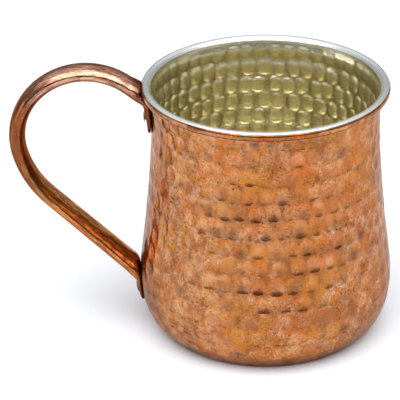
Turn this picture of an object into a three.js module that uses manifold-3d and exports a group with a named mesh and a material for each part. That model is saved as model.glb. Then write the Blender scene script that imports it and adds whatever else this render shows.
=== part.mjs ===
// Hammered copper mug for cold drinks: a belly-shaped copper wall whose lip flares and is
// rolled into a bead, a bright nickel lining that wraps over that bead, and a loop handle
// made of one copper tube whose ends are beaten flat, bent down the wall and riveted on.
// Millimetres, +Z up, origin at the middle of the flat base, handle towards -X.

import * as THREE from 'three';
import { mergeVertices } from 'three/addons/utils/BufferGeometryUtils.js';
import Module from 'manifold-3d';

const wasm = await Module();
wasm.setup();

// Driving dimensions of the wall
const height = 96.65;
const lipRadius = 45;
const bellyRadius = 46.6;
const bellyHeight = 22.7;
const baseRadius = 37.2;
const heelSlope = THREE.MathUtils.degToRad(28);
const heelRun = 11.3;
const bellyRunBelow = 3.9;
const bellyRunAbove = 3.3;
const neckRun = 22.2;
const copperThickness = 0.8;
const liningThickness = 0.4;
const skinGap = 0.02;

// Driving dimensions of the lip: how far it stands out from the neck and over it, the straight
// stretch after its flare, and the rolled bead
const lipReach = 3.55;
const lipRise = 13.65;
const straightRun = 1.6956;
const beadRadius = 1.7;
const liningReach = THREE.MathUtils.degToRad(33);

// Driving dimensions of the hammered marks
const markPitchRound = 7.2;
const markPitchUp = 6.5;
const markDepth = 0.35;
const markZigzag = 0.9;
const plainHeel = 3.5;
const plainNeck = 0.4;

// Driving dimensions of the handle; the loop's middle goes by the lip, the run's end by the
// wall at the lower tab's top
const tubeThickness = 6;
const tubeWidth = 10.4;
const loopRadius = 25.35;
const loopStandoff = 20;
const loopDrop = 20.75;
const loopStart = THREE.MathUtils.degToRad(127);
const sweepStart = THREE.MathUtils.degToRad(-15);
const sweepRadius = 37.2;
const runEndStandoff = 4.24513;
const runEndRise = 6.27787;
const runWidth = 13.4;
const beadGap = 0.45;
const underBead = THREE.MathUtils.degToRad(-55);
const upperBendRise = 0.4;
const upperBendRun = 4;
const lowerBendRun = 4;
const lowerBendDrop = 2;
const lowerHeelRun = 3;
const lowerHeelDrop = 0.5;

// Driving dimensions of the handle's flattened ends; the upper one goes by the rim
const tabThickness = 0.9;
const tabWidth = 13;
const tabTipGap = 0.3;
const upperTabTopDrop = 6.75;
const upperTabTipDrop = 19.15;
const upperRootGap = 1.8;
const lowerTabTop = 18.5;
const lowerTabTip = 9.4;
const lowerRootGap = 0.6;

// Driving dimensions of the rivets; the upper one goes by the rim
const upperRivetDrop = 13.05;
const lowerRivetHeight = 14;
const shankRadius = 1.4;
const shankClearance = 0.2;
const headRadius = 2.2;
const headRise = 0.6;
const innerHeadRadius = 3;
const innerHeadRise = 0.7;
const seatGap = 0.1;
const innerSeatGap = 0.3;

const wallThickness = copperThickness + liningThickness;
const neckRadius = lipRadius - lipReach;
const neckHeight = height - lipRise;
const loopReach = lipRadius + loopStandoff;
const loopHeight = height - loopDrop;
const upperTabTop = height - upperTabTopDrop;
const upperTabTip = height - upperTabTipDrop;
const upperRivetHeight = height - upperRivetDrop;

// The flare is the arc that leaves the neck upright and whose straight end meets the bead
// smoothly
const bead = new THREE.Vector2(lipRadius - beadRadius, height - beadRadius);
const neck = new THREE.Vector2(neckRadius, neckHeight);
const neckToBead = bead.clone().sub(neck);
const beadDrop = wallThickness - beadRadius;
const flareRadius = (neckToBead.lengthSq() - beadDrop ** 2 - straightRun ** 2)
  / (2 * (neckToBead.x + beadDrop));
const flare = new THREE.Vector2(neckRadius + flareRadius, neckHeight);
const flareToBead = bead.clone().sub(flare);
const flareLean = Math.atan2(flareToBead.y, -flareToBead.x)
  - Math.atan2(straightRun, flareRadius + beadDrop);
const leanDirection = new THREE.Vector2(Math.sin(flareLean), Math.cos(flareLean));
const flareEnd = new THREE.Vector2(
  flare.x - flareRadius * Math.cos(flareLean),
  flare.y + flareRadius * Math.sin(flareLean),
);

// The outside of the wall in the (radius, height) plane, from the base edge into the bead
const baseEdge = new THREE.Vector2(baseRadius, 0);
const belly = new THREE.Vector2(bellyRadius, bellyHeight);
const wall = new THREE.CurvePath();
wall.add(new THREE.CubicBezierCurve(
  baseEdge,
  new THREE.Vector2(baseRadius + heelRun * Math.cos(heelSlope), heelRun * Math.sin(heelSlope)),
  new THREE.Vector2(bellyRadius, bellyHeight - bellyRunBelow),
  belly,
));
wall.add(new THREE.CubicBezierCurve(
  belly,
  new THREE.Vector2(bellyRadius, bellyHeight + bellyRunAbove),
  new THREE.Vector2(neckRadius, neckHeight - neckRun),
  neck,
));
wall.add(new THREE.EllipseCurve(
  flare.x, flare.y, flareRadius, flareRadius, Math.PI, Math.PI - flareLean, true,
));
wall.add(new THREE.LineCurve(
  flareEnd,
  flareEnd.clone().addScaledVector(leanDirection, straightRun),
));
const wallLength = wall.getLength();

// A point of the wall at a way up along its outside, this deep in from the outside
function wallPoint(way, depth) {
  const share = THREE.MathUtils.clamp(way / wallLength, 0, 1);
  const tangent = wall.getTangent(share);
  const point = wall.getPoint(share);
  return new THREE.Vector2(point.x - tangent.y * depth, point.y + tangent.x * depth);
}

// How far along the wall's outside a height lies
function wayAtHeight(level) {
  let low = 0;
  let high = wallLength;
  for (let step = 0; step < 40; step += 1) {
    const middle = (low + high) / 2;
    if (wallPoint(middle, 0).y < level) {
      low = middle;
    } else {
      high = middle;
    }
  }
  return (low + high) / 2;
}

// A point around the bead's centre, turned up from the outward side over the top
function beadPoint(turn, radius) {
  return new THREE.Vector2(
    bead.x + radius * Math.cos(turn),
    bead.y + radius * Math.sin(turn),
  );
}

// Where the wall's outside runs into the bead, as a way up the wall and a turn of the bead
const toFlareEnd = flareEnd.clone().sub(bead);
const alongLean = toFlareEnd.dot(leanDirection);
const creviceRun = -alongLean
  - Math.sqrt(alongLean ** 2 - toFlareEnd.lengthSq() + beadRadius ** 2);
const creviceWay = wallLength - straightRun + creviceRun;
const crevice = wallPoint(creviceWay, 0).sub(bead);
const creviceTurn = Math.atan2(crevice.y, crevice.x);
const inwardTurn = Math.PI - flareLean;

// Rows of hammer marks up the wall, and marks around it
const rowsStart = plainHeel;
const rowsEnd = creviceWay - plainNeck;
const rowCount = Math.round((rowsEnd - rowsStart) / markPitchUp);
const rowPitch = (rowsEnd - rowsStart) / rowCount;
const markCount = Math.round(2 * Math.PI * bellyRadius / markPitchRound);
const ringCount = 2 * markCount;
const handleTurn = Math.PI;

// A closed skin put together from rings around the mug's axis
class Skin {
  constructor() {
    this.points = [];
    this.faces = [];
  }

  vertex(point, turn) {
    const angle = handleTurn + turn;
    this.points.push(point.x * Math.cos(angle), point.x * Math.sin(angle), point.y);
    return this.points.length / 3 - 1;
  }

  ring(point, count) {
    const ring = [];
    for (let index = 0; index < count; index += 1) {
      ring.push(this.vertex(point, 2 * Math.PI * index / count));
    }
    return ring;
  }

  pole(level) {
    return [this.vertex(new THREE.Vector2(0, level), 0)];
  }

  face(a, b, c, turned) {
    this.faces.push(...(turned ? [a, c, b] : [a, b, c]));
  }

  // Joins two rings, which may differ in count; one of them may be a pole
  join(first, second, turned) {
    let near = 0;
    let far = 0;
    const nearEnd = first.length > 1 ? first.length : 0;
    const farEnd = second.length > 1 ? second.length : 0;
    while (near < nearEnd || far < farEnd) {
      const nearFirst = (near + 1) * farEnd <= (far + 1) * nearEnd;
      const a = first[near % first.length];
      const b = second[far % second.length];
      if (far === farEnd || (near < nearEnd && nearFirst)) {
        near += 1;
        this.face(a, first[near % first.length], b, turned);
      } else {
        far += 1;
        this.face(a, second[far % second.length], b, turned);
      }
    }
  }

  // Joins rings in their order; turned, the face that they make looks the other way
  joinAll(rings, turned = false) {
    for (let index = 1; index < rings.length; index += 1) {
      this.join(rings[index - 1], rings[index], turned);
    }
  }

  geometry() {
    const geometry = new THREE.BufferGeometry();
    geometry.setAttribute('position', new THREE.Float32BufferAttribute(this.points, 3));
    geometry.setIndex(this.faces);
    return geometry;
  }
}

// The wall is dressed flat where a tab or a rivet lies on it
function isDressedFlat(turn, point) {
  const sideways = Math.abs(Math.atan2(Math.sin(turn), Math.cos(turn))) * point.x;
  const onUpper = point.y > upperTabTip - markPitchUp / 2;
  const onLower = point.y < lowerTabTop + markPitchUp / 2;
  return sideways < tabWidth / 2 + markPitchRound / 2 && (onUpper || onLower);
}

// The edge between two rows of marks: a ring that runs in a zigzag, as bricks overlap
function rowEdge(skin, edge, depth) {
  const ring = [];
  const isEnd = edge === 0 || edge === rowCount;
  for (let index = 0; index < ringCount; index += 1) {
    const upwards = (index + edge) % 2 === 1 ? 1 : -1;
    const shift = isEnd ? 0 : upwards * markZigzag / 2;
    const way = rowsStart + edge * rowPitch + shift;
    ring.push(skin.vertex(wallPoint(way, depth), 2 * Math.PI * index / ringCount));
  }
  return ring;
}

// Hammer marks between two row edges: each one has its own middle, pressed in
function rowOfMarks(skin, row, from, to, depth, press) {
  for (let mark = 0; mark < markCount; mark += 1) {
    const place = 2 * mark + row % 2;
    const turn = 2 * Math.PI * place / ringCount;
    const way = rowsStart + (row + 0.5) * rowPitch;
    const flat = isDressedFlat(turn, wallPoint(way, depth));
    const middle = skin.vertex(wallPoint(way, flat ? depth : depth + press), turn);
    const before = (place + ringCount - 1) % ringCount;
    const here = place % ringCount;
    const after = (place + 1) % ringCount;
    const corners = [from[before], from[here], from[after], to[after], to[here], to[before]];
    corners.forEach((corner, index) => {
      skin.face(corner, corners[(index + 1) % corners.length], middle, false);
    });
  }
}

// All rows over one face of the wall, upwards outside and downwards inside
function hammeredFace(skin, depth, press, upwards) {
  const edges = [];
  for (let edge = 0; edge <= rowCount; edge += 1) {
    edges.push(rowEdge(skin, edge, depth));
  }
  for (let row = 0; row < rowCount; row += 1) {
    if (upwards) {
      rowOfMarks(skin, row, edges[row], edges[row + 1], depth, press);
    } else {
      rowOfMarks(skin, row, edges[row + 1], edges[row], depth, press);
    }
  }
  return upwards ? [edges[0], edges[rowCount]] : [edges[rowCount], edges[0]];
}

const openBeadStep = THREE.MathUtils.degToRad(33);
const hiddenBeadStep = THREE.MathUtils.degToRad(67);

// Rings over the bead after one turn, up to and with another
function beadRings(skin, radius, from, to, count, stepTurn) {
  const steps = Math.round((to - from) / stepTurn);
  const rings = [];
  for (let step = 1; step <= steps; step += 1) {
    const turn = THREE.MathUtils.lerp(from, to, step / steps);
    rings.push(skin.ring(beadPoint(turn, radius), count));
  }
  return rings;
}

// Up to this row the wall curves so much that every row edge has its own smooth ring
const curvedRows = Math.ceil(wayAtHeight(2 * bellyHeight) / rowPitch);

// The smooth face where copper and lining meet: rings from the lining's edge on the bead,
// over the bead and down the wall to the floor
function meetingRings(skin, depth, edgeTurn) {
  const radius = beadRadius - wallThickness + depth;
  const rings = [
    skin.ring(beadPoint(edgeTurn, beadRadius), ringCount),
    skin.ring(beadPoint(edgeTurn, radius), ringCount),
    ...beadRings(skin, radius, liningReach, inwardTurn, markCount, hiddenBeadStep),
    skin.ring(wallPoint(wallLength - straightRun, depth), markCount),
  ];
  for (let edge = rowCount - 1; edge >= 0; edge -= edge > curvedRows ? 2 : 1) {
    rings.push(skin.ring(wallPoint(rowsStart + edge * rowPitch, depth), markCount));
  }
  rings.push(skin.ring(floorEdge(depth), markCount), skin.pole(depth));
  return rings;
}

// Where the inside of the heel meets the flat floor
function floorEdge(depth) {
  return new THREE.Vector2(baseRadius - depth * Math.tan(heelSlope / 2), depth);
}

// The copper body: hammered outside, smooth where the lining lies in it
function bodyGeometry() {
  const skin = new Skin();
  const marks = hammeredFace(skin, 0, markDepth, true);
  const edgeTurn = liningReach - skinGap / beadRadius;
  const creviceRing = skin.ring(beadPoint(creviceTurn, beadRadius), ringCount);
  const roll = beadRings(skin, beadRadius, creviceTurn, edgeTurn, ringCount, openBeadStep);
  const meeting = meetingRings(skin, copperThickness, edgeTurn);
  skin.joinAll([skin.pole(0), skin.ring(baseEdge, ringCount), marks[0]]);
  skin.joinAll([marks[1], creviceRing, ...roll, ...meeting.slice(1)]);
  return skin.geometry();
}

// The lining: smooth towards the copper, bumps inside, wrapped over the bead
function liningGeometry() {
  const skin = new Skin();
  const marks = hammeredFace(skin, wallThickness, markDepth, false);
  const roll = beadRings(skin, beadRadius, liningReach, inwardTurn, ringCount, openBeadStep);
  const meeting = meetingRings(skin, copperThickness + skinGap, liningReach);
  skin.joinAll(meeting, true);
  skin.joinAll([meeting[0], ...roll, marks[0]]);
  skin.joinAll([marks[1], skin.ring(floorEdge(wallThickness), ringCount), skin.pole(wallThickness)]);
  return skin.geometry();
}

// How far a tab stands off the wall, from its tip (0) to its root (1)
function tabGap(share, rootGap) {
  return THREE.MathUtils.lerp(tabTipGap, rootGap, share);
}

// A cross-section of the handle: its two sides in the handle's plane, its width across that
// plane, its squareness, and how far it wraps round the wall
function section(fingerSide, backSide, width, square, wrap) {
  return { fingerSide, backSide, width, square, wrap };
}

const ovalPower = 2;
const flatPower = 4;
const tabCuts = [0, 0.04, 0.12, 0.25, 0.45, 0.72, 1];
const tipWidthStart = 0.15;

// Sections along a tab, from its rounded tip to its root; the wall side comes first
function tabSections(tipLevel, rootLevel, rootGap) {
  const tip = wayAtHeight(tipLevel);
  const root = wayAtHeight(rootLevel);
  return tabCuts.map((share) => {
    const way = THREE.MathUtils.lerp(tip, root, share);
    const fromTip = (Math.abs(way - tip) + tipWidthStart) / (tabWidth / 2);
    const width = tabWidth * Math.sqrt(1 - (1 - Math.min(1, fromTip)) ** 2);
    const gap = tabGap(share, rootGap);
    const wallSide = wallPoint(way, -gap);
    const openSide = wallPoint(way, -gap - tabThickness);
    return section(wallSide, openSide, width, flatPower, 1);
  });
}

// The same sections with their two sides exchanged
function flipped(sections) {
  return sections.map((cut) => ({ ...cut, fingerSide: cut.backSide, backSide: cut.fingerSide }));
}

// Sections of the open tube along a curve, between two widths, both ends included
function tubeSections(curve, count, fromWidth, toWidth) {
  const sections = [];
  for (let step = 0; step <= count; step += 1) {
    const share = step / count;
    const point = curve.getPointAt(share);
    const direction = curve.getTangentAt(share);
    const toFingers = new THREE.Vector2(direction.y, -direction.x);
    sections.push(section(
      point.clone().addScaledVector(toFingers, tubeThickness / 2),
      point.clone().addScaledVector(toFingers, -tubeThickness / 2),
      THREE.MathUtils.lerp(fromWidth, toWidth, share),
      ovalPower,
      0,
    ));
  }
  return sections;
}

// Sections between two others, whose sides follow two curves while the flat metal swells
function bendSections(from, to, fingerCurve, backCurve, count) {
  const sections = [];
  for (let step = 1; step < count; step += 1) {
    const share = step / count;
    sections.push(section(
      fingerCurve.getPoint(share),
      backCurve.getPoint(share),
      THREE.MathUtils.lerp(from.width, to.width, THREE.MathUtils.smoothstep(share, 0, 1)),
      THREE.MathUtils.lerp(from.square, to.square, share),
      THREE.MathUtils.lerp(from.wrap, to.wrap, share),
    ));
  }
  return sections;
}

// A curve that leaves one point and reaches another along given directions
function easedCurve(from, fromDirection, fromRun, to, toDirection, toRun) {
  return new THREE.CubicBezierCurve(
    from,
    from.clone().addScaledVector(fromDirection, fromRun),
    to.clone().addScaledVector(toDirection, -toRun),
    to,
  );
}

// An arc of the handle about a centre, clockwise from one angle to another
function arcCurve(centre, radius, from, to) {
  return new THREE.EllipseCurve(centre.x, centre.y, radius, radius, from, to, true);
}

// The tube's line in the (radius, height) plane: the loop, a wider sweep and a straight run
const loopCentre = new THREE.Vector2(loopReach, loopHeight);
const sweepInset = new THREE.Vector2(Math.cos(sweepStart), Math.sin(sweepStart));
const sweepCentre = loopCentre.clone().addScaledVector(sweepInset, loopRadius - sweepRadius);
const loop = arcCurve(loopCentre, loopRadius, loopStart, sweepStart);
const runEnd = wallPoint(wayAtHeight(lowerTabTop), 0)
  .add(new THREE.Vector2(runEndStandoff, runEndRise));
const toRunEnd = runEnd.clone().sub(sweepCentre);
const runLength = Math.sqrt(toRunEnd.lengthSq() - sweepRadius ** 2);
const runSlope = Math.atan2(toRunEnd.y, toRunEnd.x) + Math.atan2(runLength, sweepRadius);
const sweep = arcCurve(sweepCentre, sweepRadius, sweepStart, runSlope);
const runDirection = new THREE.Vector2(Math.sin(runSlope), -Math.cos(runSlope));
const run = new THREE.LineCurve(sweep.getPoint(1), runEnd);

const loopCuts = 16;
const sweepCuts = 4;
const runCuts = 3;
const bendCuts = 6;
const sweepWidth = (tubeWidth + runWidth) / 2;
const upperTab = flipped(tabSections(upperTabTip, upperTabTop, upperRootGap));
const tube = [
  ...tubeSections(loop, loopCuts, tubeWidth, tubeWidth),
  ...tubeSections(sweep, sweepCuts, tubeWidth, sweepWidth).slice(1),
  ...tubeSections(run, runCuts, sweepWidth, runWidth).slice(1),
];
const lowerTab = tabSections(lowerTabTip, lowerTabTop, lowerRootGap).reverse();

const upwards = new THREE.Vector2(0, 1);
const downwards = new THREE.Vector2(0, -1);

// The upper bend: the tube's back passes just outside the bead and tucks in under it
function upperBend() {
  const from = upperTab[upperTab.length - 1];
  const to = tube[0];
  const clear = beadRadius + beadGap;
  const direction = loop.getTangent(0);
  const fingerCurve = easedCurve(from.fingerSide, upwards, upperBendRise, to.fingerSide, direction, upperBendRun);
  const backCurve = new THREE.SplineCurve([
    from.backSide,
    beadPoint(underBead, clear),
    beadPoint(underBead / 2, clear),
    beadPoint(0, clear),
    new THREE.Vector2(lipRadius + beadGap, height),
    to.backSide,
  ]);
  return bendSections(from, to, fingerCurve, backCurve, bendCuts);
}

// The lower bend: the tube runs up to the wall and its underside turns down into the tab
function lowerBend() {
  const from = tube[tube.length - 1];
  const to = lowerTab[0];
  const fingerCurve = easedCurve(
    from.fingerSide, runDirection, lowerBendRun, to.fingerSide, downwards, lowerBendDrop,
  );
  const backCurve = easedCurve(
    from.backSide, runDirection, lowerHeelRun, to.backSide, downwards, lowerHeelDrop,
  );
  return bendSections(from, to, fingerCurve, backCurve, bendCuts);
}

const handleSections = [...upperTab, ...upperBend(), ...tube, ...lowerBend(), ...lowerTab];
const tubeSides = 14;

// A power of a sine or cosine that keeps its sign, for a section's outline
const signedPower = (value, power) => Math.sign(value) * Math.abs(value) ** power;

// A ring of points round one cross-section of the handle
function sectionPoints(cut) {
  const points = [];
  const middle = cut.fingerSide.clone().add(cut.backSide).divideScalar(2);
  const toFingers = cut.fingerSide.clone().sub(cut.backSide).divideScalar(2);
  for (let side = 0; side < tubeSides; side += 1) {
    const angle = 2 * Math.PI * side / tubeSides;
    const across = cut.width / 2 * signedPower(Math.cos(angle), 2 / cut.square);
    const through = signedPower(Math.sin(angle), 2 / cut.square);
    const reach = middle.x + toFingers.x * through;
    const sag = cut.wrap * (reach - Math.sqrt(reach ** 2 - across ** 2));
    points.push(sag - reach, across, middle.y + toFingers.y * through);
  }
  return points;
}

// The handle: one tube lofted through its cross-sections and closed at both tips
function handleGeometry() {
  const points = handleSections.flatMap(sectionPoints);
  const faces = [];
  const last = handleSections.length - 1;
  for (let index = 0; index < last; index += 1) {
    for (let side = 0; side < tubeSides; side += 1) {
      const a = index * tubeSides + side;
      const b = index * tubeSides + (side + 1) % tubeSides;
      faces.push(a, b, b + tubeSides, a, b + tubeSides, a + tubeSides);
    }
  }
  for (let side = 1; side < tubeSides - 1; side += 1) {
    const end = last * tubeSides;
    faces.push(0, side + 1, side, end, end + side, end + side + 1);
  }
  const geometry = new THREE.BufferGeometry();
  geometry.setAttribute('position', new THREE.Float32BufferAttribute(points, 3));
  geometry.setIndex(faces);
  return geometry;
}

// A rivet's seat: where its axis leaves the wall, its lean, and what it clamps there
function rivetSeat(level, tipLevel, rootLevel, rootGap) {
  const way = wayAtHeight(level);
  const tangent = wall.getTangent(way / wallLength);
  const tabLength = wayAtHeight(rootLevel) - wayAtHeight(tipLevel);
  const share = (way - wayAtHeight(tipLevel)) / tabLength;
  const lean = (rootGap - tabTipGap) / tabLength;
  const point = wallPoint(way, 0);
  const inwards = new THREE.Vector2(-tangent.y, tangent.x);
  const rims = [-1, 1].map((side) => (
    wallPoint(way + side * innerHeadRadius, wallThickness).sub(point).dot(inwards)
  ));
  const roundWall = wallThickness + innerHeadRadius ** 2 / (2 * point.x);
  return {
    point,
    lean: Math.atan2(tangent.x, tangent.y),
    outerFace: tabGap(share, rootGap) + tabThickness + headRadius * lean + seatGap,
    innerFace: -Math.max(roundWall, ...rims) - innerSeatGap,
  };
}

const upperSeat = rivetSeat(upperRivetHeight, upperTabTip, upperTabTop, upperRootGap);
const lowerSeat = rivetSeat(lowerRivetHeight, lowerTabTip, lowerTabTop, lowerRootGap);

const rivetSides = 16;
const domeSteps = 3;

// The rising line of a domed head in the (radius, height) plane, from its rim to its top
function domeLine(radius, rise, steps) {
  const points = [];
  for (let step = 0; step <= steps; step += 1) {
    const angle = Math.PI / 2 * step / steps;
    const across = step === steps ? 0 : radius * Math.cos(angle);
    points.push(new THREE.Vector2(across, rise * Math.sin(angle)));
  }
  return points;
}

// A rivet turned about its own axis, from the inner head to the outer dome
function rivetGeometry(seat) {
  const inner = domeLine(innerHeadRadius, innerHeadRise, domeSteps)
    .reverse()
    .map((point) => new THREE.Vector2(point.x, seat.innerFace - point.y));
  const outer = domeLine(headRadius, headRise, domeSteps)
    .map((point) => new THREE.Vector2(point.x, seat.outerFace + point.y));
  const profile = [
    ...inner,
    new THREE.Vector2(shankRadius, seat.innerFace),
    new THREE.Vector2(shankRadius, seat.outerFace),
    ...outer,
  ];
  return new THREE.LatheGeometry(profile, rivetSides);
}

// Puts an object whose axis is its own Y on a rivet's seat, square to the wall
function placeOnSeat(object, seat) {
  object.position.set(-seat.point.x, 0, seat.point.y);
  object.rotation.set(0, -seat.lean, Math.PI / 2);
  object.updateMatrix();
  return object;
}

// Solids for the rivets' holes
function toSolid(geometry) {
  const bare = geometry.clone();
  bare.deleteAttribute('normal');
  bare.deleteAttribute('uv');
  const merged = mergeVertices(bare);
  return new wasm.Manifold(new wasm.Mesh({
    numProp: 3,
    vertProperties: new Float32Array(merged.attributes.position.array),
    triVerts: new Uint32Array(merged.index.array),
  }));
}

function toGeometry(solid) {
  const mesh = solid.getMesh();
  const geometry = new THREE.BufferGeometry();
  geometry.setAttribute('position', new THREE.BufferAttribute(mesh.vertProperties, 3));
  geometry.setIndex(new THREE.BufferAttribute(mesh.triVerts, 1));
  return geometry;
}

// The room that a rivet's shank takes out of a tab, the wall and the lining
function shankHole(seat) {
  const radius = shankRadius + shankClearance;
  const reach = 2 * seat.outerFace;
  const rod = new THREE.Mesh(new THREE.CylinderGeometry(radius, radius, 2 * reach, rivetSides));
  placeOnSeat(rod, seat);
  return toSolid(rod.geometry.applyMatrix4(rod.matrix));
}

const rivetHoles = shankHole(upperSeat).add(shankHole(lowerSeat));

function drilled(geometry) {
  return toGeometry(toSolid(geometry).subtract(rivetHoles));
}

// Finishes, as colour, metalness and roughness
const copper = { color: 0xc4824a, metalness: 1, roughness: 0.35 };
const polishedCopper = { color: 0xb8693a, metalness: 1, roughness: 0.15 };
const nickel = { color: 0xc9c3a4, metalness: 1, roughness: 0.2 };
const rivetMetal = { color: 0xa9a99c, metalness: 1, roughness: 0.3 };

function piece(name, geometry, finish) {
  geometry.computeVertexNormals();
  const mesh = new THREE.Mesh(geometry, new THREE.MeshStandardMaterial(finish));
  mesh.name = name;
  return mesh;
}

const mug = new THREE.Group();
mug.add(piece('body', drilled(bodyGeometry()), copper));
mug.add(piece('lining', drilled(liningGeometry()), nickel));
mug.add(piece('handle', drilled(handleGeometry()), polishedCopper));
mug.add(placeOnSeat(piece('upper_rivet', rivetGeometry(upperSeat), rivetMetal), upperSeat));
mug.add(placeOnSeat(piece('lower_rivet', rivetGeometry(lowerSeat), rivetMetal), lowerSeat));

export default mug;
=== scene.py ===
"""Looks of a hammered copper mug with a nickel lining and a riveted loop handle.

The pieces are built in millimetres in the frame of the solids and turned to metres when
their meshes are made. The mug stands on z = 0 with its handle towards -X.
"""

import math
import random

import bpy
import numpy as np
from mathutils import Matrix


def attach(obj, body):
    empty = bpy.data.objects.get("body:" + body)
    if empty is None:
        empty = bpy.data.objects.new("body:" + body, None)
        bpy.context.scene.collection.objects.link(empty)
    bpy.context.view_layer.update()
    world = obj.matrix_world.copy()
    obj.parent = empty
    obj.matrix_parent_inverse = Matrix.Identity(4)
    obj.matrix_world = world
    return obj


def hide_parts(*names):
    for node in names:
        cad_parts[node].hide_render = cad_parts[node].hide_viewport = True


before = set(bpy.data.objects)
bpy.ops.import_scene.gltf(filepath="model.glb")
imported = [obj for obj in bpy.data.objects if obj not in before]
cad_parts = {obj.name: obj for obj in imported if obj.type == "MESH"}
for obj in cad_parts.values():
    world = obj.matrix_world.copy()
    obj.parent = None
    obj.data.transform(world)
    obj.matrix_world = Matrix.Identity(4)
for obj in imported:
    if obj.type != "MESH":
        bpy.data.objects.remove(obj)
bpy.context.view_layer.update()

MM = 0.001

# Wall and lip, within about 0.3 mm of the solids
HEIGHT = 96.65
LIP_RADIUS = 45.0
NECK_RADIUS = 41.45
NECK_HEIGHT = 83.0
BELLY_RADIUS = 46.55
BELLY_HEIGHT = 22.7
BASE_RADIUS = 37.2
HEEL_SLOPE = math.radians(28)
HEEL_RUN = 11.3
BELLY_RUN_BELOW = 3.9
BELLY_RUN_ABOVE = 3.3
NECK_RUN = 22.2
COPPER_THICKNESS = 0.8
LINING_THICKNESS = 0.4
SKIN_GAP = 0.02
WALL_THICKNESS = COPPER_THICKNESS + LINING_THICKNESS
FLARE_RADIUS = 53.0
BEAD_RADIUS = 1.7
LINING_REACH = math.radians(44)
LIP_CONE_LEAN = math.radians(38)
LIP_CONE_RUN = 0.9

# Hammer marks
MARK_PITCH_UP = 6.9
MARKS_AT_BASE = 41
MARKS_AT_LIP = 48
MARK_OVERLAP = 0.08
PLAIN_HEEL = 2.5

# How much one blow differs from the next
BLOW_SEED = 7
ROW_WAVER = 0.2
COUNT_STEPS = (-1, 0, 0, 1)
MARK_SHIFT_ACROSS = 0.12
MARK_SHIFT_UP = 0.4
MARK_WIDTHS = (0.9, 1.08)
MARK_HEIGHTS = (0.92, 1.08)
LEAST_DEPTH = 0.4
DEPTH_RANGE = 0.8
DEPTH_POWER = 0.8
LEAST_DARK_BLOTCH = 0.2
DARK_BLOTCH_RANGE = 0.8
DARK_BLOTCH_POWER = 2

# The dish outside and the bump inside that a blow leaves
DISH_DEPTH = 0.42
DISH_ROUNDNESS = 2.7
DISH_FLAT = 0.1
DISH_DOME = 0.3
BUMP_HEIGHT = 0.75
BUMP_ROUNDNESS = 2.1
BUMP_STEEPNESS = 3.5
BUMP_WIDENING = 1.1
BUMP_UNEVENNESS = 0.3

# The dark blotch in a mark, partly tarnishing and partly painted dark reflection, in shares of its
# half width and half height, and where the painted shade along its lower border starts
DARK_BLOTCH_WIDTH = 0.75
DARK_BLOTCH_HEIGHT = 0.5
DARK_BLOTCH_DROP = 0.35
BORDER_START = 0.8
BORDER_FULL = 0.95

# Where the marks fade out: at the lip, in the top row inside, and round the flat ends
EDGE_FADE = 1.2
TOP_FADE = 2.4
TOP_ROW_START = 1.9
TOP_ROW_FULL = 0.9
TOP_BUMP_SHARE = 0.5
FLAT_ROOM = 1.0
FLAT_FADE = 3.0
FLAT_MARGIN_INSIDE = 2.5

# Handle
TUBE_THICKNESS = 6.0
TUBE_WIDTH = 10.4
LOOP_RADIUS = 25.22
LOOP_REACH = 65.0
LOOP_HEIGHT = 75.9
LOOP_START = math.radians(127)
SWEEP_START = math.radians(-15)
SWEEP_RADIUS = 37.2
RUN_SLOPE = math.radians(-46.2)
RUN_LENGTH = 39.5
RUN_WIDTH = 13.4
BEAD_GAP = 0.25
UNDER_BEAD = math.radians(-55)
OVER_BEAD = math.radians(45)
UPPER_BEND_RISE = 0.4
UPPER_BEND_RUN = 4.0
LOWER_BEND_RUN = 4.0
LOWER_BEND_DROP = 2.0
LOWER_HEEL_RUN = 3.0
LOWER_HEEL_DROP = 0.5
TAB_THICKNESS = 0.9
TAB_WIDTH = 13.0
TAB_TIP_START = 0.15
TAB_TIP_GAP = 0.3
TAB_REST_GAP = 0.12
UPPER_TAB_TOP = 89.9
UPPER_TAB_TIP = 77.5
UPPER_ROOT_GAP = 1.8
LOWER_TAB_TOP = 18.5
LOWER_TAB_TIP = 9.4
LOWER_ROOT_GAP = 0.6
OVAL_POWER = 2.0
FLAT_POWER = 4.0

# Rivets
UPPER_RIVET_HEIGHT = 83.6
LOWER_RIVET_HEIGHT = 14.0
SHANK_RADIUS = 1.4
HEAD_RADIUS = 2.2
HEAD_RISE = 0.6
INNER_HEAD_RADIUS = 3.0
INNER_HEAD_RISE = 0.7
SEAT_GAP = 0.1
INNER_SEAT_GAP = 0.3

# How finely the pieces are drawn
COLUMNS = 720
WALL_STATIONS = 340
HIDDEN_STATIONS = 18
BEAD_STATIONS = 18
LINE_STEPS = 400
FLARE_STEPS = 60
STRAIGHT_STEPS = 40
FLAT_RINGS = (0.2, 0.6, 0.97)
CONE_RINGS = (1, 0.9, 0.5, 0.1)
TUBE_SIDES = 40
LOOP_STEPS = 72
SWEEP_STEPS = 16
RUN_STEPS = 16
BEND_STEPS = 20
BEAD_STEPS = 3
TAB_STEPS = 22
TAB_CROWDING = 1.8
RIVET_SIDES = 32
DOME_STEPS = 8


# The wall's line

def smooth_step(low, high, value):
    """0 under low, 1 over high, smooth in between."""
    share = np.clip((value - low) / (high - low), 0, 1)
    return share * share * (3 - 2 * share)


def bezier(start, start_handle, end_handle, end, share):
    """Points of a cubic curve at these shares of its way."""
    share = np.asarray(share, float)[:, None]
    rest = 1 - share
    return (
        rest ** 3 * np.array(start)
        + 3 * rest ** 2 * share * np.array(start_handle)
        + 3 * rest * share ** 2 * np.array(end_handle)
        + share ** 3 * np.array(end)
    )


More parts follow.
